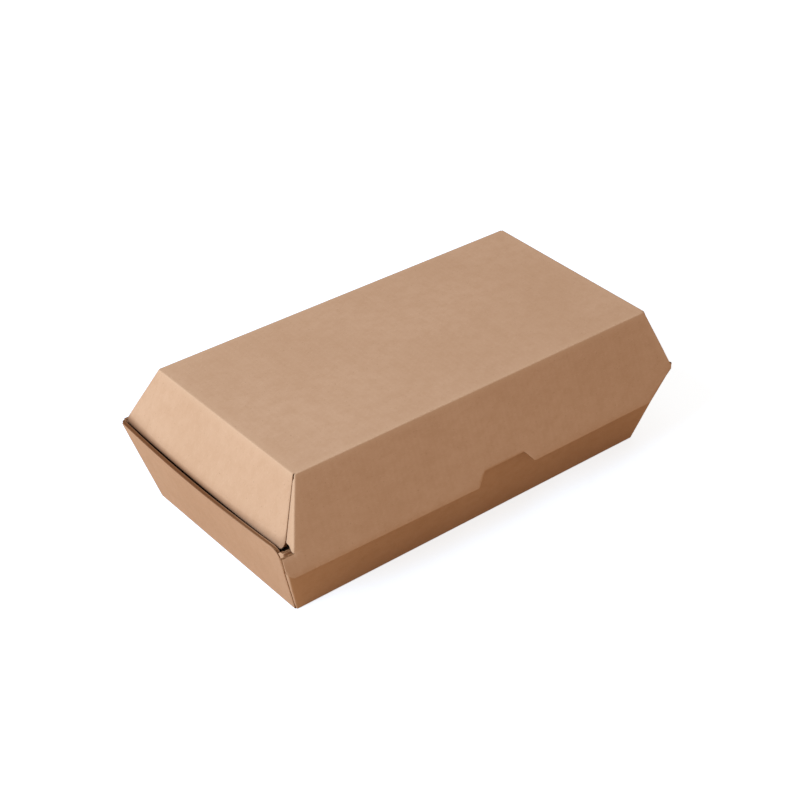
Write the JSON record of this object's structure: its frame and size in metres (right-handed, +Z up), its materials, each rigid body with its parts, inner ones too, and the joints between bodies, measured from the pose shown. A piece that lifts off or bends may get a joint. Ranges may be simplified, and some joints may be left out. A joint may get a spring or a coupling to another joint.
{
  "type": "cardboard takeaway box",
  "caption": "Flared kraft takeaway box with glued end walls, a lid hinged on the rear rim, and a lip with a thumb notch that hangs over the front.",
  "frame": {"origin": "middle of the tray's bottom face, on the table", "axes": "+X along the length, towards the lip's cut-back end; -Y towards the front lip; +Z up"},
  "size_m": [0.2079, 0.1134, 0.0636],
  "materials": {
    "tray_board": "plain brown kraft liner, matt, with fine fibres and flecks",
    "lid_board": "plain brown kraft liner, matt, with fine fibres and flecks"
  },
  "bodies": {
    "tray": {"tray": "tray_board"},
    "lid": {"lid": "lid_board"}
  },
  "joints": [
    {"name": "lid_hinge", "type": "hinge", "parent": "tray", "child": "lid", "pos_m": [0, 0.05353, 0.03815], "axis": [-1, 0, 0], "range_deg": [0, 180]}
  ]
}
